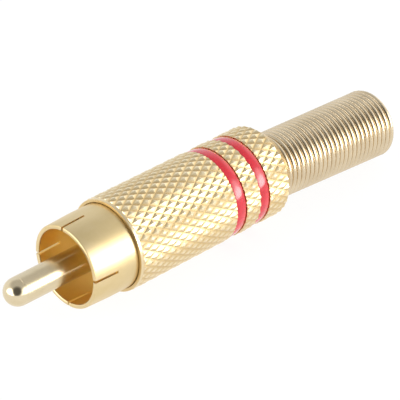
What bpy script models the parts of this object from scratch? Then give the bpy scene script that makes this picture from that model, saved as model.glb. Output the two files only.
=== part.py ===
"""Metal cable-mount phono plug with a knurled screw-on barrel and a bend-relief spring.

The plug lies on its side. Its axis runs along X, the pin points to -X and the cable end to +X.
Lengths along the axis are measured from the rim of the contact shell, radii from the axis.
"""
import math

import bmesh
import bpy
from mathutils import Vector

MM = 0.001
FULL_TURN = 2 * math.pi

# Centre pin
pin_diameter = 3.2 * MM
pin_reach = 8.2 * MM              # from the shell's rim to the tip of the dome
pin_shank_diameter = 2.4 * MM     # the part that passes through the rear insulator
pin_rivet_diameter = 3.4 * MM
pin_rivet_length = 0.4 * MM
solder_cup_diameter = 2.5 * MM
solder_cup_bore = 1.7 * MM
solder_cup_depth = 3.6 * MM
solder_cup_length = 5.2 * MM
solder_cup_opening = 2.2 * MM     # length of the cut-away half of the cup

# Contact shell
shell_diameter = 9.9 * MM
shell_wall = 0.5 * MM
shell_length = 9.2 * MM
rim_pinch = 0.12 * MM             # how far each petal leans in at the rim
rim_round = 0.1 * MM
slot_width = 0.28 * MM
slot_length = 3.15 * MM
slot_turn = math.radians(-4)

# Insulators
socket_depth = 6.8 * MM           # from the rim to the insulator's face
insulator_head = 0.9 * MM
insulator_stem_wall = 0.65 * MM
washer_thickness = 1.0 * MM

# Threaded body
thread_rise = 0.025 * MM          # how far the thread stands outside the shell
thread_length = 5.5 * MM
thread_chamfer = 0.25 * MM
washer_pocket = 3.3 * MM          # from the collar's end to the rear insulator's seat
collar_wall = 0.45 * MM
collar_length = 1.1 * MM
collar_lip = 0.2 * MM
collar_lip_length = 0.45 * MM

# Ground lug and cable clamp, folded from one sheet
lug_sheet = 0.4 * MM
lug_strip_width = 2.4 * MM
lug_hole = 1.2 * MM
clamp_length = 3.8 * MM
clamp_ear_height = 0.9 * MM       # above the plug's axis

# Insulating sleeve
sleeve_wall = 0.25 * MM

# Barrel
shell_cover = 3.17 * MM           # length of the shell that the barrel's front surrounds
barrel_length = 23.6 * MM
thread_wall = 0.425 * MM          # from the thread to the tips of the knurl
barrel_wall = 0.85 * MM           # from the main bore to the tips of the knurl
knurl_starts = 34
knurl_pitch = 1.70 * MM           # between two grooves of one hand, along the axis
knurl_depth = 0.22 * MM
front_rim_length = 0.45 * MM
front_rim_drop = 0.07 * MM
front_rim_step = 0.05 * MM
front_wall = 0.33 * MM
shoulder_length = 1.2 * MM        # the cone behind the knurl
lip_wall = 0.2 * MM
neck_length = 1.65 * MM           # the narrow hole that keeps the spring in

# Red bands, each in a turned groove
band_width = 1.5 * MM
band_front_start = 14.42 * MM     # from the barrel's front face
band_gap = 2.1 * MM
band_depth = 0.45 * MM
band_sink = 0.15 * MM             # enamel surface below the tips of the knurl

# Bend-relief spring
spring_wire = 0.66 * MM
turn_gap = 0.04 * MM
spring_flare = 0.22 * MM          # how much wider the radius is at the free end
spring_reach = 18.4 * MM          # out of the barrel
flange_step = 0.52 * MM           # how far the inner end's flange stands outside the coils
flange_turns = 1.75
flange_blend = 0.5                # turns over which the flange narrows to the spring
spring_drop = 0.09 * MM           # the loose spring lies this far under the axis

# Clearances
thread_play = 0.05 * MM
seat_gap = 0.1 * MM               # end faces and plain fits
close_gap = 0.05 * MM             # enamel in its groove, pin in its hole
sleeve_play = 0.1 * MM
lug_play = 0.25 * MM              # from the lug's strip and clamp to the sleeve
flange_play = 0.2 * MM            # from the spring's flange to the bore
clamp_room = 0.4 * MM             # from the sleeve to the spring's flange

# Number of faces
shell_sides = 36
body_sides = 20
small_sides = 16
drill_sides = 12
dome_steps = 4
spring_sides = 14
wire_sides = 4
clamp_steps = 9
bore_sides = knurl_starts

# Radii that follow from the sizes, from the shell outwards and back in
shell_r = shell_diameter / 2
shell_bore_r = shell_r - shell_wall
thread_r = shell_r + thread_rise
thread_bore_r = thread_r + thread_play
knurl_r = thread_bore_r + thread_wall
bore_r = knurl_r - barrel_wall
sleeve_r = bore_r - sleeve_play
sleeve_bore_r = sleeve_r - sleeve_wall
lug_low = sleeve_bore_r - lug_play
lug_top = lug_low - lug_sheet
ring_r = sleeve_r - close_gap
lip_r = lug_top - seat_gap
collar_r = lip_r - collar_lip
ring_bore_r = collar_r + seat_gap
washer_bore_r = collar_r - collar_wall
washer_r = washer_bore_r - seat_gap
pin_r = pin_diameter / 2
shank_r = pin_shank_diameter / 2
head_r = shell_bore_r - seat_gap
stem_r = pin_r + close_gap + insulator_stem_wall
flange_r = bore_r - flange_play
spring_r = flange_r - flange_step
spring_end_r = spring_r + spring_flare
half_wire = spring_wire / 2
knurl_step = FULL_TURN / knurl_starts
rest_height = knurl_r * math.cos(knurl_step / 4)    # two tips of the knurl stand on the table

# Places along the axis that follow from the sizes
head_end = socket_depth + insulator_head
body_start = head_end + seat_gap
thread_start = shell_length + seat_gap
thread_end = thread_start + thread_length
collar_end = thread_end + collar_length
washer_seat = collar_end - washer_pocket
stem_end = washer_seat - seat_gap
washer_start = washer_seat + close_gap
washer_end = washer_start + washer_thickness
pin_shoulder = washer_start - close_gap
rivet_start = washer_end + close_gap
cup_start = rivet_start + pin_rivet_length
cup_end = cup_start + solder_cup_length
ring_start = thread_end + seat_gap
ring_end = ring_start + lug_sheet
barrel_start = shell_length - shell_cover
barrel_end = barrel_start + barrel_length
neck_start = barrel_end - neck_length

# The spring leans down from its flange until its free end touches the table
pitch = spring_wire + turn_gap
spring_fall = rest_height - spring_end_r - spring_drop
lean_room = flange_r * spring_fall / spring_reach
spring_place = neck_start - seat_gap - lean_room - half_wire - flange_turns * pitch
spring_turns = round((barrel_end + spring_reach - half_wire - spring_place) / pitch)
spring_length = spring_turns * pitch
neck_lean = (spring_fall + spring_flare) * (barrel_end - spring_place) / spring_length
neck_r = spring_r + spring_drop + neck_lean + close_gap
sleeve_end = spring_place - half_wire - lean_room - clamp_room
clamp_end = sleeve_end - seat_gap
strip_end = clamp_end - clamp_length


def gold(name, color, roughness):
    return finish(name, color, roughness, 1.0)


def finish(name, color, roughness, metallic):
    material = bpy.data.materials.new(name)
    material.use_nodes = True
    shader = material.node_tree.nodes["Principled BSDF"]
    shader.inputs["Base Color"].default_value = (*color, 1.0)
    shader.inputs["Roughness"].default_value = roughness
    shader.inputs["Metallic"].default_value = metallic
    material.diffuse_color = (*color, 1.0)
    return material


def add_object(name, mesh_data, material, parent, sharp=math.radians(35)):
    """Closes a bmesh into an object of its own under its joint's empty."""
    bmesh.ops.recalc_face_normals(mesh_data, faces=mesh_data.faces)
    mesh = bpy.data.meshes.new(name)
    mesh_data.to_mesh(mesh)
    mesh_data.free()
    mesh.shade_smooth()
    mesh.set_sharp_from_angle(angle=sharp)
    if material:
        mesh.materials.append(material)
    piece = bpy.data.objects.new(name, mesh)
    bpy.context.scene.collection.objects.link(piece)
    piece.parent = parent
    return piece


def add_empty(name, parent, location):
    empty = bpy.data.objects.new(name, None)
    empty.empty_display_size = knurl_r
    bpy.context.scene.collection.objects.link(empty)
    empty.parent = parent
    empty.location = location
    return empty


def turned(profile, sides):
    """Spins a closed outline of (x, radius) points about the X axis."""
    shape = bmesh.new()
    points = [shape.verts.new((x, 0, -radius)) for x, radius in profile]
    edges = [shape.edges.new((a, b)) for a, b in zip(points, points[1:])]
    if profile[0][1] > 0:
        edges.append(shape.edges.new((points[-1], points[0])))
    bmesh.ops.spin(
        shape,
        geom=points + edges,
        cent=(0, 0, 0),
        axis=(1, 0, 0),
        angle=FULL_TURN,
        steps=sides,
        use_merge=True,
    )
    bmesh.ops.remove_doubles(shape, verts=shape.verts, dist=1e-7)
    return shape


def block(low, high):
    shape = bmesh.new()
    bmesh.ops.create_cube(shape, size=1.0)
    size = Vector(high) - Vector(low)
    bmesh.ops.scale(shape, vec=size, verts=shape.verts)
    bmesh.ops.translate(shape, vec=(Vector(low) + Vector(high)) / 2, verts=shape.verts)
    return shape


def extruded(outline, start, end):
    """Pushes an outline of (y, z) points from x = start to x = end."""
    shape = bmesh.new()
    points = [shape.verts.new((start, y, z)) for y, z in outline]
    face = shape.faces.new(points)
    pushed = bmesh.ops.extrude_face_region(shape, geom=[face])
    moved = [item for item in pushed["geom"] if isinstance(item, bmesh.types.BMVert)]
    bmesh.ops.translate(shape, vec=(end - start, 0, 0), verts=moved)
    return shape


def tool(name, mesh_data, parent):
    """A helper solid that only cuts or joins."""
    helper = add_object(name, mesh_data, None, parent)
    helper.hide_render = True
    helper.display_type = "WIRE"
    return helper


def combine(piece, helper, operation):
    modifier = piece.modifiers.new(helper.name, "BOOLEAN")
    modifier.operation = operation
    modifier.solver = "EXACT"
    modifier.object = helper


def make_contact_shell(material, parent):
    """Thin sleeve whose four petals lean in a little towards the rim."""
    slot_foot = slot_length + rim_round
    profile = [
        (0, shell_r - rim_pinch - rim_round),
        (rim_round, shell_r - rim_pinch),
        (slot_foot, shell_r),
        (shell_length, shell_r),
        (shell_length, shell_bore_r),
        (slot_foot, shell_bore_r),
        (rim_round, shell_bore_r - rim_pinch),
        (0, shell_bore_r - rim_pinch + rim_round),
    ]
    shell = add_object("contact_shell", turned(profile, shell_sides), material, parent)
    for index in range(2):
        saw = block((-pin_r, -slot_width / 2, -2 * shell_r), (slot_length, slot_width / 2, 2 * shell_r))
        cutter = tool(f"slot_saw_{index + 1}", saw, parent)
        cutter.rotation_euler = (slot_turn + index * FULL_TURN / 4, 0, 0)
        combine(shell, cutter, "DIFFERENCE")


def make_centre_pin(material, parent):
    """Domed pin, shouldered and riveted through the rear insulator, with a solder cup."""
    dome_end = pin_r - pin_reach
    profile = [(-pin_reach, 0)]
    for step in range(1, dome_steps + 1):
        angle = step * FULL_TURN / 4 / dome_steps
        profile.append((dome_end - pin_r * math.cos(angle), pin_r * math.sin(angle)))
    rivet_r = pin_rivet_diameter / 2
    cup_r = solder_cup_diameter / 2
    cup_bore_r = solder_cup_bore / 2
    profile += [
        (pin_shoulder, pin_r),
        (pin_shoulder, shank_r),
        (rivet_start, shank_r),
        (rivet_start, rivet_r),
        (cup_start, rivet_r),
        (cup_start, cup_r),
        (cup_end, cup_r),
        (cup_end, cup_bore_r),
        (cup_end - solder_cup_depth, cup_bore_r),
        (cup_end - solder_cup_depth, 0),
    ]
    pin = add_object("centre_pin", turned(profile, small_sides), material, parent)
    opening = block((cup_end - solder_cup_opening, -2 * cup_r, 0), (cup_end + cup_r, 2 * cup_r, 2 * cup_r))
    combine(pin, tool("cup_opening", opening, parent), "DIFFERENCE")


def make_insulators(material, parent):
    hole_r = pin_r + close_gap
    front = [
        (socket_depth, hole_r),
        (socket_depth, head_r),
        (head_end, head_r),
        (head_end, stem_r),
        (stem_end, stem_r),
        (stem_end, hole_r),
    ]
    add_object("insulator_front", turned(front, small_sides), material, parent)
    washer_hole_r = shank_r + close_gap
    rear = [
        (washer_start, washer_hole_r),
        (washer_start, washer_r),
        (washer_end, washer_r),
        (washer_end, washer_hole_r),
    ]
    add_object("insulator_rear", turned(rear, small_sides), material, parent)


def make_threaded_body(material, parent):
    """Bush that carries the shell on its spigot and the barrel on its thread."""
    spigot_r = shell_bore_r - close_gap
    stem_bore_r = stem_r + seat_gap
    staked = washer_end + seat_gap
    staked_r = washer_bore_r - 2 * seat_gap
    lip_start = collar_end - collar_lip_length
    profile = [
        (body_start, stem_bore_r),
        (body_start, spigot_r),
        (thread_start, spigot_r),
        (thread_start, thread_r - thread_chamfer),
        (thread_start + thread_chamfer, thread_r),
        (thread_end, thread_r),
        (thread_end, collar_r),
        (lip_start, collar_r),
        (lip_start, lip_r),
        (collar_end, lip_r),
        (collar_end, staked_r),
        (staked, staked_r),
        (staked, washer_bore_r),
        (washer_seat, washer_bore_r),
        (washer_seat, stem_bore_r),
    ]
    add_object("threaded_body", turned(profile, body_sides), material, parent)


def make_ground_lug(material, parent):
    """Ring under the body's riveted collar, a solder strip and an open cable clamp."""
    ring = [
        (ring_start, ring_bore_r),
        (ring_start, ring_r),
        (ring_end, ring_r),
        (ring_end, ring_bore_r),
    ]
    lug = add_object("ground_lug", turned(ring, body_sides), material, parent)
    half = lug_strip_width / 2
    root = (ring_start + ring_end) / 2
    strip = block((root, -half, -lug_low), (strip_end + lug_sheet, half, -lug_top))
    combine(lug, tool("lug_strip", strip, parent), "UNION")
    arc = [math.pi * step / clamp_steps for step in range(clamp_steps + 1)]
    outer = [(lug_low * math.cos(a), -lug_low * math.sin(a)) for a in arc]
    inner = [(lug_top * math.cos(a), -lug_top * math.sin(a)) for a in reversed(arc)]
    ears_out = [(-lug_low, clamp_ear_height), (-lug_top, clamp_ear_height)]
    ears_in = [(lug_top, clamp_ear_height), (lug_low, clamp_ear_height)]
    clamp = extruded(outer + ears_out + inner + ears_in, strip_end, clamp_end)
    combine(lug, tool("cable_clamp", clamp, parent), "UNION")
    drill = bmesh.new()
    bmesh.ops.create_cone(
        drill,
        cap_ends=True,
        segments=drill_sides,
        radius1=lug_hole / 2,
        radius2=lug_hole / 2,
        depth=4 * lug_sheet,
    )
    middle = (ring_end + strip_end) / 2
    bmesh.ops.translate(drill, vec=(middle, 0, -(lug_low + lug_top) / 2), verts=drill.verts)
    combine(lug, tool("lug_drill", drill, parent), "DIFFERENCE")


def make_insulating_sleeve(material, parent):
    start = collar_end + seat_gap
    profile = [
        (start, sleeve_bore_r),
        (start, sleeve_r),
        (sleeve_end, sleeve_r),
        (sleeve_end, sleeve_bore_r),
    ]
    add_object("insulating_sleeve", turned(profile, body_sides), material, parent)


def barrel_rings():
    """Outside of the barrel from front to back, as (x, radius at even places, at odd places)."""
    rim_r = knurl_r - front_rim_drop
    knurl_start = barrel_start + front_rim_length
    cone_start = barrel_end - shoulder_length
    count = round((cone_start - knurl_start) / (knurl_pitch / 2))
    step = (cone_start - knurl_start) / count
    lip = neck_r + lip_wall
    valley = knurl_r - knurl_depth
    rings = [(barrel_start, rim_r, rim_r), (knurl_start - front_rim_step, rim_r, rim_r)]
    for row in range(count + 1):
        tip, groove = (knurl_r, valley) if row % 2 == 0 else (valley, knurl_r)
        rings.append((knurl_start + row * step, tip, groove))
    rings.append((barrel_end, lip, lip))
    return rings


def barrel_bore():
    """Inside of the barrel from back to front, as (x, radius)."""
    recess_r = knurl_r - front_wall
    thread_stop = thread_end + seat_gap
    return [
        (barrel_end, neck_r),
        (neck_start, neck_r),
        (neck_start, bore_r),
        (thread_stop, bore_r),
        (thread_stop, thread_bore_r),
        (thread_start - thread_chamfer, thread_bore_r),
        (barrel_start, recess_r),
    ]


def circle(shape, x, radii):
    """A ring of vertices that starts a quarter of a knurl's step from the lowest point."""
    ring = []
    for place, radius in enumerate(radii):
        angle = place * FULL_TURN / len(radii) + knurl_step / 4
        ring.append(shape.verts.new((x, radius * math.sin(angle), -radius * math.cos(angle))))
    return ring


def join_knurl(shape, ring, following, odd_row):
    """Between two rings each square is split along its groove, so that tips stay sharp."""
    count = len(ring)
    for place in range(count):
        turn = (place + 1) % count
        corners = (ring[place], ring[turn], following[turn], following[place])
        if (place + odd_row) % 2 == 0:
            shape.faces.new((corners[0], corners[1], corners[3]))
            shape.faces.new((corners[1], corners[2], corners[3]))
        else:
            shape.faces.new((corners[0], corners[1], corners[2]))
            shape.faces.new((corners[0], corners[2], corners[3]))


def join_plain(shape, ring, following):
    count = len(ring)
    for place in range(count):
        turn = (place + 1) % count
        shape.faces.new((ring[place], ring[turn], following[turn], following[place]))


def join_end(shape, outer, inner):
    """Closes an end face between a ring and one with half as many vertices."""
    count = len(inner)
    for place in range(count):
        turn = (place + 1) % count
        middle = outer[2 * place + 1]
        shape.faces.new((outer[2 * place], middle, inner[place]))
        shape.faces.new((middle, inner[turn], inner[place]))
        shape.faces.new((middle, outer[(2 * place + 2) % len(outer)], inner[turn]))


def make_barrel(material, parent):
    """Knurled barrel, its mesh laid out along the two hands of the knurl."""
    shape = bmesh.new()
    plain_rings = 2
    outside = [
        circle(shape, x, [even, odd] * knurl_starts)
        for x, even, odd in barrel_rings()
    ]
    inside = [circle(shape, x, [radius] * bore_sides) for x, radius in barrel_bore()]
    for row, (ring, following) in enumerate(zip(outside, outside[1:])):
        if plain_rings <= row < len(outside) - 2:
            join_knurl(shape, ring, following, row - plain_rings)
        else:
            join_knurl(shape, ring, following, row)
    for ring, following in zip(inside, inside[1:]):
        join_plain(shape, ring, following)
    join_end(shape, outside[-1], inside[0])
    join_end(shape, outside[0], inside[-1])
    return add_object("barrel", shape, material, parent, math.radians(15))


def make_bands(barrel, material, parent):
    """Two turned grooves in the knurl, each filled with a ring of enamel."""
    floor_r = knurl_r - band_depth
    face_r = knurl_r - band_sink
    for index, name in enumerate(("red_band_front", "red_band_rear")):
        start = barrel_start + band_front_start + index * (band_width + band_gap)
        end = start + band_width
        groove = [(start, floor_r), (start, 2 * knurl_r), (end, 2 * knurl_r), (end, floor_r)]
        cutter = tool(f"groove_tool_{index + 1}", turned(groove, bore_sides), parent)
        combine(barrel, cutter, "DIFFERENCE")
        low = start + close_gap
        high = end - close_gap
        ring = [
            (low, floor_r + close_gap),
            (low, face_r),
            (high, face_r),
            (high, floor_r + close_gap),
        ]
        add_object(name, turned(ring, bore_sides), material, parent)


def spring_line():
    """Centre line of the wire about the spring's own axis, as (distance, radius, angle)."""
    points = []
    for step in range(spring_turns * spring_sides + 1):
        turn = step / spring_sides
        narrow = min(max((turn - flange_turns) / flange_blend, 0), 1)
        coil_r = spring_r + spring_flare * turn / spring_turns
        radius = flange_r + (coil_r - flange_r) * narrow - half_wire
        points.append((turn * pitch, radius, turn * FULL_TURN))
    return points


def make_spring(material, parent):
    """One close-wound wire that ends in a wider flange inside the barrel."""
    shape = bmesh.new()
    sections = []
    for along, radius, angle in spring_line():
        outward = Vector((0, math.sin(angle), -math.cos(angle)))
        centre = outward * radius + Vector((along, 0, 0))
        section = []
        for side in range(wire_sides):
            turn = side * FULL_TURN / wire_sides
            across = outward * math.cos(turn) + Vector((math.sin(turn), 0, 0))
            section.append(shape.verts.new(centre + across * half_wire))
        sections.append(section)
    for section, following in zip(sections, sections[1:]):
        join_plain(shape, section, following)
    shape.faces.new(sections[0])
    shape.faces.new(sections[-1])
    spring = add_object("strain_relief_spring", shape, material, parent)
    spring.location = (spring_place, 0, -spring_drop)
    spring.rotation_euler = (0, math.asin(spring_fall / spring_length), 0)
    return spring


def build():
    for old in list(bpy.data.objects):
        bpy.data.objects.remove(old, do_unlink=True)
    gold_bright = gold("gold_plating", (0.83, 0.69, 0.42), 0.22)
    gold_knurl = gold("gold_knurled", (0.86, 0.73, 0.46), 0.26)
    gold_wire = gold("gold_wire", (0.80, 0.70, 0.50), 0.24)
    nickel = gold("nickel_pin", (0.72, 0.68, 0.60), 0.20)
    tinned = gold("gold_lug", (0.78, 0.66, 0.42), 0.35)
    enamel = finish("red_enamel", (0.62, 0.02, 0.06), 0.18, 0.0)
    plastic = finish("white_insulator", (0.86, 0.85, 0.80), 0.50, 0.0)
    clear = finish("sleeve_plastic", (0.90, 0.90, 0.88), 0.35, 0.0)

    plug = add_empty("plug_frame", None, (0, 0, 0))
    slide = add_empty("cover_travel", plug, (0, 0, 0))
    turn = add_empty("barrel_turn", slide, (0, 0, 0))
    make_contact_shell(gold_bright, plug)
    make_centre_pin(nickel, plug)
    make_insulators(plastic, plug)
    make_threaded_body(gold_bright, plug)
    make_ground_lug(tinned, plug)
    make_insulating_sleeve(clear, plug)
    barrel = make_barrel(gold_knurl, turn)
    make_bands(barrel, enamel, turn)
    spring = make_spring(gold_wire, slide)

    bpy.context.view_layer.update()
    rear = max((spring.matrix_world @ vertex.co).x for vertex in spring.data.vertices)
    plug.location = ((pin_reach - rear) / 2, 0, rest_height)
    bpy.context.view_layer.update()


build()
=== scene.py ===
import math

import bmesh
import bpy
from mathutils import Matrix, Vector


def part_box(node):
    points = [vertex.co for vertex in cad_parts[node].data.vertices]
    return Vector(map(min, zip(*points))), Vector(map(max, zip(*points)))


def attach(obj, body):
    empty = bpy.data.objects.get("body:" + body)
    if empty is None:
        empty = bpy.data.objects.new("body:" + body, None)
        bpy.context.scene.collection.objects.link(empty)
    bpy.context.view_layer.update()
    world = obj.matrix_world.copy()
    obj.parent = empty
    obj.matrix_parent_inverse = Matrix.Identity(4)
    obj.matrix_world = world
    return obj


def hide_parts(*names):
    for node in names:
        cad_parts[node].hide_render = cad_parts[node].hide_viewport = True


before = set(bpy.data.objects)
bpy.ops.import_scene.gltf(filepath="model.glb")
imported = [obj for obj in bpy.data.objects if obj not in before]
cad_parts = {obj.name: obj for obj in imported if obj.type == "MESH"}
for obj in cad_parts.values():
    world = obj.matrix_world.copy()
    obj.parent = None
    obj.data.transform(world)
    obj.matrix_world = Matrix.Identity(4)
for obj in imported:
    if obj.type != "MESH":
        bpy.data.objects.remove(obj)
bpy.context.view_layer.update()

MM = 0.001
FULL_TURN = 2 * math.pi
QUARTER_TURN = FULL_TURN / 4
MERGE_DISTANCE = 1e-7
ON_SURFACE = 0.001 * MM    # a point this near to a surface lies on it

# The plug's axis runs along X. Stations are measured from the rim of the contact shell.
shell_low, shell_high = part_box("contact_shell")
AXIS_FOOT = Vector((shell_low.x, 0, (shell_low.z + shell_high.z) / 2))

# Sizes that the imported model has, by station and radius
PIN_R = 1.6 * MM
PIN_REACH = 8.2 * MM
SHELL_R = 4.95 * MM
SHELL_WALL = 0.5 * MM
SHELL_LENGTH = 9.2 * MM
SLOT_WIDTH = 0.28 * MM
SLOT_LENGTH = 3.15 * MM
SLOT_TURN = math.radians(-4)
BARREL_START = 6.03 * MM
BARREL_END = 29.63 * MM
KNURL_R = 5.45 * MM
KNURL_STARTS = 34
KNURL_START = 6.48 * MM
KNURL_END = 28.43 * MM
KNURL_PERIODS = 13
BAND_STARTS = (20.45 * MM, 24.05 * MM)
BAND_WIDTH = 1.5 * MM
BAND_FLOOR = 5.0 * MM
BAND_FACE = 5.3 * MM
THREAD_PITCH = 0.75 * MM
THREAD_R = 4.975 * MM
THREAD_BORE_R = 5.025 * MM
THREAD_START = 9.3 * MM
THREAD_END = 14.8 * MM
SPRING_PLACE = 26.025 * MM
SPRING_PITCH = 0.70 * MM
SPRING_TURNS = 31
WIRE_R = 0.33 * MM

# Finer forms that only the visual model has
KNURL_DEPTH = 0.155 * MM
KNURL_PROFILE = (1.0, 0.80, 0.54, 0.27, 0.0)    # height from a diamond's tip to its groove
KNURL_SLOPES = len(KNURL_PROFILE) - 1
KNURL_STEPS = 8                                 # mesh steps in a diamond, both ways
THREAD_DEPTH = 0.406 * MM
THREAD_CREST = THREAD_PITCH / 16                # half the width of the flat on the crest
THREAD_FLANK = math.radians(30)
THREAD_STEPS = 12                               # mesh steps in a pitch
ROUND_SIDES = 96                                # sides of the plain turned pieces

# Surroundings, each laid over the ones before it: direction, degrees from it where the effect
# is still full and where it has gone, stretch along X, brightness
SURROUNDINGS = (
    ((0, 0, 1), 30, 66, 1.0, (0.59, 0.60, 0.61)),               # grey ceiling
    ((0.592, 0.78, 0.2), 20, 45, 1.0, (0.90, 0.93, 0.98)),      # cool wall behind the plug
    ((0.88, 0, 0.47), 10, 26, 1.0, (1.5,) * 3),                 # light over the spring's end
    ((0.5, -0.85, 0.17), 16, 38, 2.5, (2.3,) * 3),              # broad light on the right
    ((0.56, -0.75, 0.42), 3, 17, 1.0, (3.6,) * 3),              # upper key light on the right
    ((0.56, -0.81, 0.16), 4, 19, 1.5, (9.0,) * 3),              # key light on the right
    ((-1, 0.15, 0.05), 10, 42, 1.0, (6.2,) * 3),                # key light in front of the pin
    ((-0.592, -0.611, 0.5255), 22, 50, 1.0, (0.12,) * 3),       # dark place of the camera
)


# ---------------------------------------------------------------- camera

def add_camera():
    """Long lens from the pin's side and above, as in the photograph."""
    elevation = 31.7
    heading = -44.1
    rim_from_camera = Vector((-14.263, -7.124, -255.75)) * MM
    lens = bpy.data.cameras.new("camera")
    lens.lens = 217.4
    lens.sensor_width = 36.0
    lens.clip_start = 0.01
    lens.clip_end = 10.0
    camera = bpy.data.objects.new("camera", lens)
    camera.rotation_euler = (math.radians(90 - elevation), 0, math.radians(heading))
    turn = camera.rotation_euler.to_matrix()
    camera.location = AXIS_FOOT - turn @ rim_from_camera
    bpy.context.scene.collection.objects.link(camera)
    bpy.context.scene.camera = camera


# ---------------------------------------------------------------- mesh helpers

def turned(outline, sides, closed=True):
    """Spins an outline of (station, radius) points about the plug's axis, from the lowest side."""
    shape = bmesh.new()
    points = [shape.verts.new((x, 0, -radius)) for x, radius in outline]
    edges = [shape.edges.new(pair) for pair in zip(points, points[1:])]
    if closed:
        edges.append(shape.edges.new((points[-1], points[0])))
    bmesh.ops.spin(
        shape,
        geom=points + edges,
        cent=(0, 0, 0),
        axis=(1, 0, 0),
        angle=FULL_TURN,
        steps=sides,
        use_merge=True,
    )
    bmesh.ops.remove_doubles(shape, verts=shape.verts, dist=MERGE_DISTANCE)
    return shape


def rounded(outline, radius, steps=4):
    """Rounds the corners of an outline: radius gives each corner's size, or one for all."""
    share = 2.05    # a corner takes less than half of an edge, so that two never meet
    count = len(outline)
    result = []
    for index, corner in enumerate(outline):
        size = radius[index] if isinstance(radius, tuple) else radius
        here = Vector(corner)
        before = Vector(outline[index - 1]) - here
        after = Vector(outline[(index + 1) % count]) - here
        if size <= 0:
            result.append(corner)
            continue
        reach = min(size, before.length / share, after.length / share)
        start = here + before.normalized() * reach
        end = here + after.normalized() * reach
        for step in range(steps + 1):
            t = step / steps
            point = start * (1 - t) ** 2 + here * 2 * t * (1 - t) + end * t * t
            result.append((point.x, point.y))
    return result


def from_axis(vert):
    """Distance of a vertex from the plug's axis."""
    return math.hypot(vert.co.y, vert.co.z)


def radial_move(vert, change):
    """Moves a vertex straight out from the axis by change."""
    radius = from_axis(vert)
    scale = (radius + change) / radius
    vert.co.y *= scale
    vert.co.z *= scale


def angle_of(vert):
    """Angle about the axis from the lowest side."""
    return math.atan2(vert.co.y, -vert.co.z)


def wrapped(value):
    """What a value has over its nearest whole number."""
    return value - round(value)


def limited(value):
    """A value kept between 0 and 1."""
    return min(max(value, 0), 1)


def finish_piece(name, shape, material, body, nodes, sharp=35, move=None):
    """Closes a bmesh into a piece that rides on its body and stands for its CAD nodes."""
    bmesh.ops.recalc_face_normals(shape, faces=shape.faces)
    if move is not None:
        bmesh.ops.transform(shape, matrix=move, verts=shape.verts)
    bmesh.ops.translate(shape, vec=AXIS_FOOT, verts=shape.verts)
    mesh = bpy.data.meshes.new(name)
    shape.to_mesh(mesh)
    shape.free()
    mesh.shade_smooth()
    mesh.set_sharp_from_angle(angle=math.radians(sharp))
    mesh.materials.append(material)
    piece = bpy.data.objects.new(name, mesh)
    bpy.context.scene.collection.objects.link(piece)
    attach(piece, body)
    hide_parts(*nodes)


def block(low, high):
    """Box between two corners."""
    shape = bmesh.new()
    bmesh.ops.create_cube(shape, size=1.0)
    size = Vector(high) - Vector(low)
    bmesh.ops.scale(shape, vec=size, verts=shape.verts)
    bmesh.ops.translate(shape, vec=(Vector(low) + Vector(high)) / 2, verts=shape.verts)
    return shape


def cut(shape, saws):
    """Cuts the saws, each a bmesh, out of a bmesh."""
    body_mesh = bpy.data.meshes.new("work")
    shape.to_mesh(body_mesh)
    shape.free()
    body = bpy.data.objects.new("work", body_mesh)
    bpy.context.scene.collection.objects.link(body)
    helpers = []
    for saw in saws:
        mesh = bpy.data.meshes.new("saw")
        saw.to_mesh(mesh)
        saw.free()
        helper = bpy.data.objects.new("saw", mesh)
        bpy.context.scene.collection.objects.link(helper)
        modifier = body.modifiers.new("saw", "BOOLEAN")
        modifier.operation = "DIFFERENCE"
        modifier.solver = "EXACT"
        modifier.object = helper
        helpers.append(helper)
    bpy.context.view_layer.update()
    evaluated = body.evaluated_get(bpy.context.evaluated_depsgraph_get())
    made = bpy.data.meshes.new_from_object(evaluated)
    result = bmesh.new()
    result.from_mesh(made)
    for item in [body, *helpers]:
        mesh = item.data
        bpy.data.objects.remove(item, do_unlink=True)
        bpy.data.meshes.remove(mesh)
    bpy.data.meshes.remove(made)
    bmesh.ops.remove_doubles(result, verts=result.verts, dist=MERGE_DISTANCE)
    return result


# ---------------------------------------------------------------- materials

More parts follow.
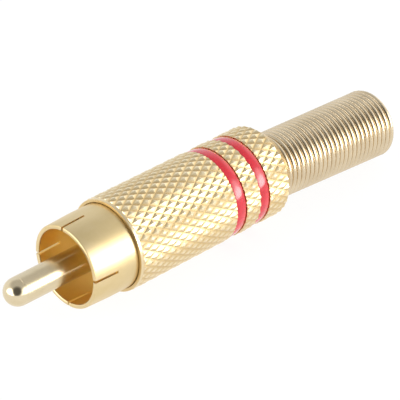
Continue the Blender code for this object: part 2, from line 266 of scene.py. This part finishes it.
class Nodes:
    """A material's node tree, with short words for what the finishes share."""

    def __init__(self, name):
        self.material = bpy.data.materials.new(name)
        self.material.use_nodes = True
        self.tree = self.material.node_tree
        self.shader = self.tree.nodes["Principled BSDF"]
        self.coords = self.add("ShaderNodeTexCoord").outputs["Object"]

    def add(self, kind, **settings):
        """A new node with its settings."""
        node = self.tree.nodes.new(kind)
        for key, value in settings.items():
            setattr(node, key, value)
        return node

    def link(self, source, target):
        self.tree.links.new(source, target)

    def feed(self, socket, source):
        """Links a node's output to one of the shader's sockets."""
        self.link(source, self.shader.inputs[socket])

    def fix(self, socket, value):
        """Gives one of the shader's sockets a plain value."""
        self.shader.inputs[socket].default_value = value

    def mapped(self, scale):
        """Object coordinates centred on the plug's axis and scaled."""
        centre = self.add("ShaderNodeVectorMath", operation="SUBTRACT")
        self.link(self.coords, centre.inputs[0])
        centre.inputs[1].default_value = AXIS_FOOT
        mapping = self.add("ShaderNodeMapping")
        mapping.inputs["Scale"].default_value = scale
        self.link(centre.outputs[0], mapping.inputs["Vector"])
        return mapping.outputs[0]

    def noise(self, scale, detail=3.0, roughness=0.55):
        """Soft noise with so many waves in a metre along each axis."""
        noise = self.add("ShaderNodeTexNoise")
        noise.inputs["Scale"].default_value = 1.0
        noise.inputs["Detail"].default_value = detail
        noise.inputs["Roughness"].default_value = roughness
        self.link(self.mapped(scale), noise.inputs["Vector"])
        return noise.outputs["Fac"]

    def span(self, value, low, high, to_low=0.0, to_high=1.0):
        """A value that runs from low to high, brought to another range and kept in it."""
        node = self.add("ShaderNodeMapRange")
        node.inputs["From Min"].default_value = low
        node.inputs["From Max"].default_value = high
        node.inputs["To Min"].default_value = to_low
        node.inputs["To Max"].default_value = to_high
        self.link(value, node.inputs["Value"])
        return node.outputs["Result"]

    def drifting(self, noise, low, high):
        """A value that drifts between low and high with a noise."""
        return self.span(noise, 0.3, 0.7, low, high)

    def product(self, first, second):
        node = self.add("ShaderNodeMath", operation="MULTIPLY")
        self.link(first, node.inputs[0])
        self.link(second, node.inputs[1])
        return node.outputs[0]

    def mixed(self, factor, first, second, blend="MIX"):
        """Mixes two colours or outputs by a number or an output."""
        mix = self.add("ShaderNodeMix", data_type="RGBA", blend_type=blend)
        if isinstance(factor, float):
            mix.inputs[0].default_value = factor
        else:
            self.link(factor, mix.inputs[0])
        for socket, value in ((mix.inputs[6], first), (mix.inputs[7], second)):
            if isinstance(value, tuple):
                socket.default_value = (*value, 1.0)
            else:
                self.link(value, socket)
        return mix.outputs[2]

    def clouded(self, noise, deep, pale):
        """Colour that drifts between two tones with a noise."""
        return self.mixed(self.span(noise, 0.35, 0.65), deep, pale)

    def bump(self, height, strength, distance, after=None):
        """Normal with a relief, on top of another one if that is given."""
        bump = self.add("ShaderNodeBump")
        bump.inputs["Strength"].default_value = strength
        bump.inputs["Distance"].default_value = distance
        self.link(height, bump.inputs["Height"])
        if after is not None:
            self.link(after, bump.inputs["Normal"])
        return bump.outputs["Normal"]

    def radius(self):
        """Distance from the plug's axis, in metres."""
        flat = self.mapped((0, 1, 1))
        length = self.add("ShaderNodeVectorMath", operation="LENGTH")
        self.link(flat, length.inputs[0])
        return length.outputs["Value"]

    def station(self):
        """Station along the plug's axis, in metres."""
        parts = self.add("ShaderNodeSeparateXYZ")
        self.link(self.mapped((1, 1, 1)), parts.inputs[0])
        return parts.outputs["X"]


def plated(name, deep, pale, rough, brush, inner=None):
    """Plated metal with turning marks that run round the axis and a slightly uneven tone.

    inner is a radius, a colour and a roughness: nearer to the axis than that, behind the rim,
    the plating has that roughness, and that colour as a painted reflection of light bounced
    between the gold walls.
    """
    made = Nodes(name)
    tone = made.noise((260, 420, 420), detail=4.0)
    lines = made.noise((9000, 260, 260), detail=5.0, roughness=0.7)
    uneven = 0.4 * brush
    base = made.clouded(tone, deep, pale)
    gloss = made.drifting(lines, rough - uneven, rough + uneven)
    if inner is not None:
        radius, colour, inner_rough = inner
        blend = 0.05 * MM
        inside = made.span(made.radius(), radius - blend, radius + blend, 1.0, 0.0)
        behind_rim = made.span(made.station(), 0.1 * MM, 0.3 * MM)
        both = made.product(inside, behind_rim)
        # Painted reflection: inside the shell the colour turns deep orange, standing for light
        # bounced between the gold walls
        base = made.mixed(both, base, colour)
        gloss = made.mixed(both, gloss, (inner_rough,) * 3)
    shade = made.drifting(lines, 1.0 - uneven, 1.0)
    made.feed("Base Color", made.mixed(1.0, base, shade, "MULTIPLY"))
    made.feed("Roughness", gloss)
    made.fix("Metallic", 1.0)
    fine = made.noise((5200, 5200, 5200), detail=2.0)
    turning_marks = made.bump(lines, brush, 0.01 * MM)
    made.feed("Normal", made.bump(fine, 0.05, 0.01 * MM, turning_marks))
    return made


def polish_dome(made):
    """The pin's dome is worn smoother than its shank."""
    before = made.shader.inputs["Roughness"].links[0].from_socket
    share = made.span(made.station(), -7.2 * MM, -6.2 * MM, 0.5, 1.0)
    made.feed("Roughness", made.product(before, share))


def knurled_gold():
    """Plating on the knurl: paler tips and browner grooves, a painted highlight on the tips and
    painted shade in the grooves.
    """
    made = Nodes("knurled_gold")
    radius = made.radius()
    tone = made.noise((260, 420, 420), detail=4.0)
    base = made.clouded(tone, (0.82, 0.64, 0.33), (0.88, 0.72, 0.42))
    height = made.span(radius, KNURL_R - KNURL_DEPTH, KNURL_R)
    # Painted highlight and shade: the colour goes paler towards the diamonds' tips and browner
    # down into the grooves
    painted_tip_highlight_and_groove_shade = made.mixed(made.span(height, 0.1, 0.9), (0.62, 0.42, 0.18), (1.0, 0.89, 0.66))
    made.feed("Base Color", made.mixed(0.6, base, painted_tip_highlight_and_groove_shade))
    made.feed("Roughness", made.span(height, 0.0, 1.0, 0.34, 0.22))
    made.fix("Metallic", 1.0)
    fine = made.noise((6000, 6000, 6000))
    made.feed("Normal", made.bump(fine, 0.12, 0.01 * MM))
    return made.material


def red_enamel():
    """Glossy paint with a trace of orange peel."""
    made = Nodes("red_enamel")
    tone = made.noise((500, 500, 500))
    made.feed("Base Color", made.clouded(tone, (0.63, 0.012, 0.026), (0.71, 0.018, 0.039)))
    made.feed("Roughness", made.drifting(tone, 0.2, 0.3))
    made.fix("Specular IOR Level", 0.25)
    made.fix("Coat Weight", 1.0)
    made.fix("Coat Roughness", 0.08)
    orange_peel = made.noise((1400, 1400, 1400), detail=2.0)
    made.feed("Normal", made.bump(orange_peel, 0.15, 0.02 * MM))
    return made.material


def moulded_white():
    """Satin plastic of the two insulators."""
    made = Nodes("moulded_white")
    tone = made.noise((700, 700, 700))
    made.feed("Base Color", made.clouded(tone, (0.88, 0.87, 0.82), (0.94, 0.93, 0.89)))
    made.feed("Roughness", made.drifting(tone, 0.42, 0.55))
    made.fix("Subsurface Weight", 0.1)
    made.fix("Subsurface Scale", 0.3 * MM)
    grain = made.noise((3000, 3000, 3000))
    made.feed("Normal", made.bump(grain, 0.2, 0.01 * MM))
    return made.material


def clear_sleeve():
    """Milky plastic of the tube, with faint lines from its making."""
    made = Nodes("clear_sleeve")
    tone = made.noise((600, 300, 300))
    made.feed("Base Color", made.clouded(tone, (0.86, 0.86, 0.83), (0.93, 0.93, 0.91)))
    made.feed("Roughness", made.drifting(tone, 0.22, 0.36))
    made.fix("Transmission Weight", 0.7)
    made.fix("IOR", 1.45)
    grain = made.noise((2200, 200, 200))
    made.feed("Normal", made.bump(grain, 0.2, 0.01 * MM))
    return made.material


def make_materials():
    """One finish for each kind of surface, by name."""
    # Its colour is a painted reflection: the deep orange of light bounced round inside the gold
    # shell
    shell_inside_painted_reflection = (SHELL_R - 0.6 * SHELL_WALL, (1.0, 0.70, 0.22), 0.45)
    metals = {
        "shell": plated("shell_gold", (0.75, 0.585, 0.30), (0.80, 0.635, 0.36),
                        rough=0.37, brush=0.06, inner=shell_inside_painted_reflection),
        "body": plated("body_gold", (0.78, 0.60, 0.32), (0.85, 0.69, 0.40),
                       rough=0.24, brush=0.25),
        "wire": plated("wire_gold", (0.69, 0.56, 0.375), (0.77, 0.64, 0.445),
                       rough=0.24, brush=0.10),
        "pin": plated("pin_nickel", (0.72, 0.60, 0.39), (0.79, 0.67, 0.46),
                      rough=0.25, brush=0.05),
        "lug": plated("lug_tinned", (0.72, 0.62, 0.42), (0.80, 0.70, 0.50),
                      rough=0.34, brush=0.15),
    }
    polish_dome(metals["pin"])
    return {
        **{kind: made.material for kind, made in metals.items()},
        "knurl": knurled_gold(),
        "enamel": red_enamel(),
        "white": moulded_white(),
        "sleeve": clear_sleeve(),
    }


# ---------------------------------------------------------------- pieces

def knurl_place(vert):
    """Place on the knurl in diamonds: round the barrel and along it."""
    step = FULL_TURN / KNURL_STARTS
    across = (angle_of(vert) - step / 4) / step
    along = (vert.co.x - KNURL_START) / ((KNURL_END - KNURL_START) / KNURL_PERIODS)
    return across, along


def knurl_height(vert):
    """0 in a groove of the knurl, 1 on the tip of a diamond, a little rounded at both."""
    across, along = knurl_place(vert)
    off = max(abs(wrapped(across + along)), abs(wrapped(across - along)))
    place = off * 2 * KNURL_SLOPES
    row = min(int(place), KNURL_SLOPES - 1)
    return KNURL_PROFILE[row] + (KNURL_PROFILE[row + 1] - KNURL_PROFILE[row]) * (place - row)


def crease_knurl(shape, faces):
    """Splits a square along the edge between two slopes of a diamond, where one crosses it."""
    near = 0.01
    half_round = KNURL_STARTS / 2
    creases = [row / (2 * KNURL_SLOPES) for row in range(1, KNURL_SLOPES + 1)]
    for face in faces:
        places = [knurl_place(vert) for vert in face.verts]
        base = places[0][0]
        places = [
            (base + (across - base + half_round) % KNURL_STARTS - half_round, along)
            for across, along in places
        ]
        middle_across = sum(place[0] for place in places) / len(places)
        middle_along = sum(place[1] for place in places) / len(places)
        rising = abs(wrapped(middle_across + middle_along))
        falling = abs(wrapped(middle_across - middle_along))
        if min(abs(max(rising, falling) - crease) for crease in creases) > near:
            continue
        sign = 1 if rising >= falling else -1
        order = sorted(range(len(places)), key=lambda item: abs(
            (places[item][0] - middle_across) + sign * (places[item][1] - middle_along)))
        first, second = (face.verts[item] for item in order[:2])
        bmesh.utils.face_split(face, first, second)


def barrel_outside():
    """Outside of the barrel from front to back. Points on the knurl lie at its full radius."""
    rim_r = KNURL_R - 0.07 * MM
    front_edge = ((0, 0.12), (0.015, 0.05), (0.06, 0.01), (0.12, 0))    # back and in, in mm
    points = [(BARREL_START + back * MM, rim_r - inwards * MM) for back, inwards in front_edge]
    points.append((KNURL_START - 0.09 * MM, rim_r))
    points.append((KNURL_START - 0.04 * MM, rim_r - 0.03 * MM))
    count = KNURL_PERIODS * KNURL_STEPS
    rows = [KNURL_START + (KNURL_END - KNURL_START) * row / count for row in range(count + 1)]
    spacing = rows[1] - rows[0]
    grooves = [(start, start + BAND_WIDTH) for start in BAND_STARTS]
    near = 0.02 * MM
    for row in rows:
        for low, high in grooves:
            if low <= row < low + spacing:
                points.append((low, KNURL_R))
                points.append((low, BAND_FLOOR))
                points.append((high, BAND_FLOOR))
                points.append((high, KNURL_R))
        if all(row < low - near or row > high + near for low, high in grooves):
            points.append((row, KNURL_R))
    return points


def make_barrel(finishes):
    """Knurled barrel with its two grooves, the cone at its back and the thread inside."""
    recess_r = 5.0 * MM
    recess_edge = 0.04 * MM
    thread_lead_in = 9.05 * MM
    thread_stop = THREAD_END + 0.1 * MM
    bore_r = 4.6 * MM
    neck_start = BARREL_END - 1.65 * MM
    neck_r = 4.265 * MM
    neck_edge = 0.05 * MM
    lip_r = 4.465 * MM
    cone_start = (KNURL_END + 0.15 * MM, KNURL_R - 0.17 * MM)
    cone_end = (BARREL_END - 0.20 * MM, lip_r + 0.14 * MM)
    outline = barrel_outside()
    outline += [
        cone_start,
        cone_end,
        (BARREL_END - 0.05 * MM, lip_r + 0.03 * MM),
        (BARREL_END, lip_r - 0.05 * MM),
        (BARREL_END, neck_r + neck_edge),
        (BARREL_END - neck_edge, neck_r),
        (neck_start, neck_r),
        (neck_start, bore_r),
        (thread_stop, bore_r),
        (thread_stop, THREAD_BORE_R),
        *[(x, THREAD_BORE_R) for x in reversed(thread_rows())],
        (thread_lead_in, THREAD_BORE_R),
        (BARREL_START + recess_edge, recess_r),
        (BARREL_START, recess_r + recess_edge),
    ]
    shape = turned(outline, KNURL_STARTS * KNURL_STEPS)
    knurled = set()
    moves = []
    for vert in shape.verts:
        radius = from_axis(vert)
        if radius > KNURL_R - ON_SURFACE:
            knurled.add(vert)
            moves.append((vert, -KNURL_DEPTH * (1 - knurl_height(vert))))
        elif abs(radius - THREAD_BORE_R) < ON_SURFACE and THREAD_START < vert.co.x < THREAD_END:
            moves.append((vert, -inner_thread(vert)))
    faces = [face for face in shape.faces if all(vert in knurled for vert in face.verts)]
    crease_knurl(shape, faces)
    for vert, change in moves:
        radial_move(vert, change)
    finish_piece("barrel_knurled", shape, finishes["knurl"], "barrel",
                 ["barrel"], 18)


def make_bands(finishes):
    """Red enamel that fills the two turned grooves, a little crowned."""
    gap = 0.02 * MM
    crown = 0.09 * MM
    edge_r = BAND_FACE - 1.3 * crown
    steps = 10
    inset = 0.3    # of a step, between the band's edge and its crown
    for start, name in zip(BAND_STARTS, ("red_band_front", "red_band_rear")):
        low = start + gap
        high = start + BAND_WIDTH - gap
        outline = [(low, BAND_FLOOR + gap), (low, edge_r)]
        for step in range(steps + 1):
            across = (step + inset) / (steps + 2 * inset)
            fall = crown * (2 * across - 1) ** 2
            outline.append((low + (high - low) * across, BAND_FACE - fall))
        outline += [(high, edge_r), (high, BAND_FLOOR + gap)]
        shape = turned(outline, KNURL_STARTS * KNURL_STEPS)
        finish_piece(f"enamel_{name}", shape, finishes["enamel"], "barrel",
                     [name], 50)


def make_shell(finishes):
    """Thin slotted sleeve with a rounded rim, its four petals leaning in."""
    pinch = 0.12 * MM
    rim_edge = 0.16 * MM
    back_edge = 0.08 * MM
    foot = SLOT_LENGTH + 0.1 * MM
    inner = SHELL_R - SHELL_WALL
    sides = 144
    saw_start = -1.6 * MM
    saw_reach = 2 * SHELL_R
    outline = rounded(
        [
            (0, SHELL_R - pinch),
            (foot, SHELL_R),
            (SHELL_LENGTH, SHELL_R),
            (SHELL_LENGTH, inner),
            (foot, inner),
            (0, inner - pinch),
        ],
        (rim_edge, 0, back_edge, back_edge, 0, rim_edge),
        steps=5,
    )
    shape = turned(outline, sides)
    saws = []
    for index in range(2):
        saw = block((saw_start, -SLOT_WIDTH / 2, -saw_reach),
                    (SLOT_LENGTH, SLOT_WIDTH / 2, saw_reach))
        turn = Matrix.Rotation(SLOT_TURN + index * QUARTER_TURN, 3, "X")
        bmesh.ops.rotate(saw, cent=(0, 0, 0), matrix=turn, verts=saw.verts)
        saws.append(saw)
    shape = cut(shape, saws)
    finish_piece("contact_shell_slotted", shape, finishes["shell"], "plug",
                 ["contact_shell"])


def make_pin(finishes):
    """Pin with a domed tip, a fine score behind it, the rivet and an open solder cup."""
    dome_steps = 14
    dome_end = PIN_R - PIN_REACH
    score_start = dome_end + 0.10 * MM
    score_end = dome_end + 0.20 * MM
    score = 0.03 * MM
    shank_end = 12.65 * MM
    seat_r = 1.2 * MM
    rivet_start = 13.7 * MM
    rivet_end = 14.1 * MM
    rivet_r = 1.7 * MM
    rivet_edge = 0.04 * MM
    cup_r = 1.25 * MM
    cup_end = 19.3 * MM
    cup_bore_r = 0.85 * MM
    cup_bore_end = 15.9 * MM
    cup_bore_tip = 15.7 * MM
    cup_opening = 17.1 * MM
    cup_edge = 0.05 * MM
    saw_end = 21 * MM
    saw_reach = 3 * MM
    sides = 72
    outline = [(-PIN_REACH, 0)]
    for step in range(1, dome_steps + 1):
        angle = step * QUARTER_TURN / dome_steps
        outline.append((dome_end - PIN_R * math.cos(angle), PIN_R * math.sin(angle)))
    outline += [
        (score_start, PIN_R),
        (score_start + score, PIN_R - score),
        (score_end - score, PIN_R - score),
        (score_end, PIN_R),
        (shank_end, PIN_R),
        (shank_end, seat_r),
        (rivet_start, seat_r),
        (rivet_start, rivet_r - rivet_edge),
        (rivet_start + rivet_edge, rivet_r),
        (rivet_end - rivet_edge, rivet_r),
        (rivet_end, rivet_r - rivet_edge),
        (rivet_end, cup_r),
        (cup_end - cup_edge, cup_r),
        (cup_end, cup_r - cup_edge),
        (cup_end, cup_bore_r + cup_edge),
        (cup_end - cup_edge, cup_bore_r),
        (cup_bore_end, cup_bore_r),
        (cup_bore_tip, 0),
    ]
    shape = turned(outline, sides, closed=False)
    saw = block((cup_opening, -saw_reach, 0), (saw_end, saw_reach, saw_reach))
    shape = cut(shape, [saw])
    finish_piece("centre_pin_turned", shape, finishes["pin"], "plug",
                 ["centre_pin"])


def make_spring(finishes):
    """One round wire wound close, wider at its inner end, that droops to the table."""
    flange_r = 4.4 * MM
    flange_turns = 1.75
    narrowing_turns = 0.5
    coil_start_r = 3.88 * MM
    coil_end_r = 4.10 * MM
    steps = 40
    wire_sides = 14
    wire_start = math.radians(139)
    drop = 1.2542 * MM
    length = 21.7 * MM
    sag = 0.09 * MM
    shape = bmesh.new()
    ring = bmesh.ops.create_circle(shape, cap_ends=False, radius=WIRE_R, segments=wire_sides)
    first = ring["verts"]
    stand_up = Matrix.Rotation(QUARTER_TURN, 3, "X")
    to_start = Matrix.Rotation(wire_start, 3, "X")
    bmesh.ops.rotate(shape, cent=(0, 0, 0), matrix=stand_up, verts=first)
    bmesh.ops.translate(shape, vec=(0, 0, WIRE_R - coil_start_r), verts=first)
    bmesh.ops.rotate(shape, cent=(0, 0, 0), matrix=to_start, verts=first)
    bmesh.ops.spin(
        shape,
        geom=list(shape.verts) + list(shape.edges),
        cent=(0, 0, 0),
        axis=(1, 0, 0),
        dvec=(SPRING_PITCH / steps, 0, 0),
        angle=SPRING_TURNS * FULL_TURN,
        steps=SPRING_TURNS * steps,
    )
    for vert in shape.verts:
        part = ((angle_of(vert) - wire_start) / FULL_TURN) % 1.0
        turn = part + round(vert.co.x / SPRING_PITCH - part)
        turn = min(max(turn, 0), SPRING_TURNS)
        narrow = limited((turn - flange_turns) / narrowing_turns)
        coil_r = coil_start_r + (coil_end_r - coil_start_r) * turn / SPRING_TURNS
        radial_move(vert, flange_r + (coil_r - flange_r) * narrow - coil_start_r)
    ends = [edge for edge in shape.edges if edge.is_boundary]
    bmesh.ops.holes_fill(shape, edges=ends, sides=0)
    droop = Matrix.Rotation(math.asin(drop / length), 4, "Y")
    move = Matrix.Translation((SPRING_PLACE, 0, -sag)) @ droop
    finish_piece("bend_relief_spring", shape, finishes["wire"], "spring",
                 ["strain_relief_spring"], 60, move)


def thread_rows():
    """Stations of the rings that carry a thread."""
    count = round((THREAD_END - THREAD_START) / THREAD_PITCH * THREAD_STEPS)
    return [THREAD_START + (THREAD_END - THREAD_START) * row / count for row in range(count + 1)]


def thread_depth(vert, crest):
    """How far a thread with a flat of twice crest lies under that flat at a vertex."""
    phase = vert.co.x / THREAD_PITCH - angle_of(vert) / FULL_TURN
    off = abs(wrapped(phase)) * THREAD_PITCH
    return min(max((off - crest) / math.tan(THREAD_FLANK), 0), THREAD_DEPTH)


def inner_thread(vert):
    """Height of the barrel's thread inwards, which runs out at both ends."""
    run_out = 0.4 * MM
    play = 0.03 * MM
    end = min(vert.co.x - THREAD_START, THREAD_END - vert.co.x) / run_out
    return thread_depth(vert, THREAD_CREST + play) * limited(end)


def make_threaded_body(finishes):
    """Turned bush with its thread, and the riveted collar behind it."""
    edge = 0.05 * MM
    chamfer = 0.25 * MM
    face = 7.8 * MM
    spigot_r = 4.4 * MM
    neck_r = 3.3 * MM
    collar_start = 15.45 * MM
    collar_end = 15.9 * MM
    collar_r = 3.5 * MM
    collar_bore_r = 2.65 * MM
    pocket_end = 13.75 * MM
    pocket_r = 2.85 * MM
    pocket_start = 12.6 * MM
    bore_r = 2.4 * MM
    rows = thread_rows()
    outline = [
        (face, bore_r + edge),
        (face, spigot_r - edge),
        (face + edge, spigot_r),
        (THREAD_START, spigot_r),
        *[(x, THREAD_R) for x in rows],
        (THREAD_END, neck_r),
        (collar_start, neck_r),
        (collar_start, collar_r - edge),
        (collar_start + edge, collar_r),
        (collar_end - edge, collar_r),
        (collar_end, collar_r - edge),
        (collar_end, collar_bore_r + edge),
        (collar_end - edge, collar_bore_r),
        (pocket_end, collar_bore_r),
        (pocket_end, pocket_r),
        (pocket_start, pocket_r),
        (pocket_start, bore_r),
        (face + edge, bore_r),
    ]
    shape = turned(outline, ROUND_SIDES)
    for vert in shape.verts:
        if abs(from_axis(vert) - THREAD_R) < ON_SURFACE:
            start = vert.co.x - rows[0]
            depth = thread_depth(vert, THREAD_CREST)
            radial_move(vert, -max(depth, chamfer * (1 - start / chamfer)))
    finish_piece("body_threaded", shape, finishes["body"], "plug",
                 ["threaded_body"], 30)


def make_insulators(finishes):
    """Moulded bush with a head in front, and the washer behind the pin's shoulder."""
    edge = 0.08 * MM
    head_start = 6.8 * MM
    head_end = 7.7 * MM
    head_r = 4.35 * MM
    bush_end = 12.5 * MM
    bush_r = 2.3 * MM
    bush_hole_r = 1.65 * MM
    washer_start = 12.65 * MM
    washer_end = 13.65 * MM
    washer_r = 2.75 * MM
    washer_hole_r = 1.25 * MM
    outlines = {
        "insulator_front": [
            (head_start, bush_hole_r),
            (head_start, head_r),
            (head_end, head_r),
            (head_end, bush_r),
            (bush_end, bush_r),
            (bush_end, bush_hole_r),
        ],
        "insulator_rear": [
            (washer_start, washer_hole_r),
            (washer_start, washer_r),
            (washer_end, washer_r),
            (washer_end, washer_hole_r),
        ],
    }
    for name, outline in outlines.items():
        shape = turned(rounded(outline, edge), ROUND_SIDES)
        finish_piece(f"moulded_{name}", shape, finishes["white"], "plug", [name])


def make_sleeve(finishes):
    """Thin plastic tube round the solder joints."""
    edge = 0.08 * MM
    start = 16.0 * MM
    end = 25.0 * MM
    outside_r = 4.5 * MM
    inside_r = 4.25 * MM
    outline = [(start, inside_r), (start, outside_r), (end, outside_r), (end, inside_r)]
    shape = turned(rounded(outline, edge), ROUND_SIDES)
    finish_piece("sleeve_tube", shape, finishes["sleeve"], "plug",
                 ["insulating_sleeve"])


def dress_ground_lug(finishes):
    """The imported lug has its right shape, so it only gets its finish."""
    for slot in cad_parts["ground_lug"].material_slots:
        slot.material = finishes["lug"]


# ---------------------------------------------------------------- light and floor

def add_floor():
    """White sheet that shows a faint contact shadow and glows where it is seen directly."""
    half_size = 0.8
    glow_strength = 1.06
    glow_share = 0.85
    sheet = bmesh.new()
    bmesh.ops.create_grid(sheet, x_segments=2, y_segments=2, size=half_size)
    mesh = bpy.data.meshes.new("floor")
    sheet.to_mesh(mesh)
    sheet.free()
    floor = bpy.data.objects.new("floor", mesh)
    bpy.context.scene.collection.objects.link(floor)
    material = bpy.data.materials.new("white_paper")
    material.use_nodes = True
    tree = material.node_tree
    shader = tree.nodes["Principled BSDF"]
    shader.inputs["Base Color"].default_value = (0.92, 0.92, 0.92, 1)
    shader.inputs["Roughness"].default_value = 0.9
    shader.inputs["Specular IOR Level"].default_value = 0.1
    glow = tree.nodes.new("ShaderNodeEmission")
    glow.inputs["Color"].default_value = (1, 1, 1, 1)
    glow.inputs["Strength"].default_value = glow_strength
    mix = tree.nodes.new("ShaderNodeMixShader")
    part = tree.nodes.new("ShaderNodeMath")
    part.operation = "MULTIPLY"
    part.inputs[1].default_value = glow_share
    tree.links.new(seen_directly(tree), part.inputs[0])
    tree.links.new(part.outputs[0], mix.inputs[0])
    tree.links.new(shader.outputs[0], mix.inputs[1])
    tree.links.new(glow.outputs[0], mix.inputs[2])
    tree.links.new(mix.outputs[0], tree.nodes["Material Output"].inputs["Surface"])
    mesh.materials.append(material)


def seen_directly(tree):
    """1 for rays from the camera and for reflected and transmitted ones, else 0."""
    path = tree.nodes.new("ShaderNodeLightPath")
    total = path.outputs["Is Camera Ray"]
    for name in ("Is Glossy Ray", "Is Transmission Ray"):
        add = tree.nodes.new("ShaderNodeMath")
        add.operation = "ADD"
        add.use_clamp = True
        tree.links.new(total, add.inputs[0])
        tree.links.new(path.outputs[name], add.inputs[1])
        total = add.outputs[0]
    return total


def add_world():
    """White surroundings with a grey ceiling, a few lights and the camera's dark place."""
    world = bpy.data.worlds.new("studio")
    bpy.context.scene.world = world
    world.use_nodes = True
    tree = world.node_tree
    background = tree.nodes["Background"]
    way = tree.nodes.new("ShaderNodeTexCoord").outputs["Generated"]

    def vector_math(operation, first, second=None):
        """Vector node on an output and, if given, a fixed vector."""
        node = tree.nodes.new("ShaderNodeVectorMath")
        node.operation = operation
        tree.links.new(first, node.inputs[0])
        if second is not None:
            node.inputs[1].default_value = second
        return node

    def zone(direction, inner, outer, stretch):
        """1 within inner degrees of a direction and 0 past outer, stretched along X."""
        squeeze = Vector((1 / stretch, 1, 1))
        squeezed = vector_math("MULTIPLY", way, squeeze)
        unit = vector_math("NORMALIZE", squeezed.outputs[0])
        middle = (Vector(direction) * squeeze).normalized()
        dot = vector_math("DOT_PRODUCT", unit.outputs[0], middle)
        span = tree.nodes.new("ShaderNodeMapRange")
        span.interpolation_type = "SMOOTHSTEP"
        span.inputs["From Min"].default_value = math.cos(math.radians(outer))
        span.inputs["From Max"].default_value = math.cos(math.radians(inner))
        tree.links.new(dot.outputs["Value"], span.inputs["Value"])
        return span.outputs["Result"]

    light = None
    for direction, inner, outer, stretch, brightness in SURROUNDINGS:
        mix = tree.nodes.new("ShaderNodeMix")
        mix.data_type = "RGBA"
        tree.links.new(zone(direction, inner, outer, stretch), mix.inputs[0])
        if light is None:
            mix.inputs[6].default_value = (1.0, 1.0, 1.0, 1.0)
        else:
            tree.links.new(light, mix.inputs[6])
        mix.inputs[7].default_value = (*brightness, 1.0)
        light = mix.outputs[2]
    tree.links.new(light, background.inputs["Color"])
    background.inputs["Strength"].default_value = 1.0


scene = bpy.context.scene
scene.view_settings.view_transform = "Standard"
add_camera()
finishes = make_materials()
make_barrel(finishes)
make_bands(finishes)
make_shell(finishes)
make_pin(finishes)
make_spring(finishes)
make_threaded_body(finishes)
make_insulators(finishes)
make_sleeve(finishes)
dress_ground_lug(finishes)
add_floor()
add_world()
